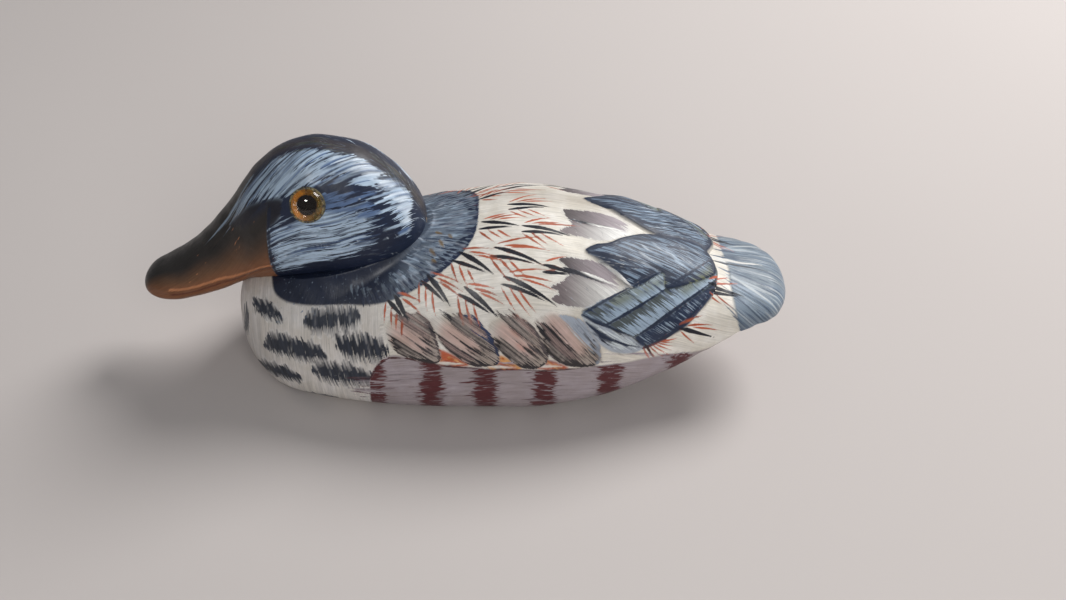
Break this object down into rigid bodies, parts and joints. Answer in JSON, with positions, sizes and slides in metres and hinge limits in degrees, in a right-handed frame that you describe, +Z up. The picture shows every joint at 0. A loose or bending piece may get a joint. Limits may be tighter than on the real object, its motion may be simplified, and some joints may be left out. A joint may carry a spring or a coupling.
{
  "type": "duck decoy",
  "caption": "Carved and painted wooden duck decoy with a hollow weighted hull, a separate head block and glass eyes, resting on a flat base.",
  "frame": {"origin": "on the flat resting face, under the middle of the overall length", "axes": "+X from bill to tail, +Z up, -Y towards the duck's left side"},
  "size_m": [0.151, 0.0552, 0.0592],
  "materials": {
    "upper_hull_paint": "satin",
    "lower_hull_paint": "satin",
    "head_paint": "satin",
    "birch_dowel": "matte",
    "cast_lead": "matte",
    "brass_screw": "satin",
    "eye_glass": "gloss",
    "eye_iris": "gloss",
    "eye_pupil": "gloss",
    "eye_putty": "matte",
    "eye_pin": "satin"
  },
  "bodies": {
    "root": {"hull_upper": "upper_hull_paint", "hull_lower": "lower_hull_paint", "head_block": "head_paint", "neck_dowel": "birch_dowel", "hull_dowels": "birch_dowel", "ballast_bar": "cast_lead", "ballast_screws": "brass_screw", "eye_glass_left": "eye_glass", "eye_glass_right": "eye_glass", "eye_iris_left": "eye_iris", "eye_iris_right": "eye_iris", "eye_pupil_left": "eye_pupil", "eye_pupil_right": "eye_pupil", "eye_putty_left": "eye_putty", "eye_putty_right": "eye_putty", "eye_pin_left": "eye_pin", "eye_pin_right": "eye_pin"}
  },
  "joints": []
}
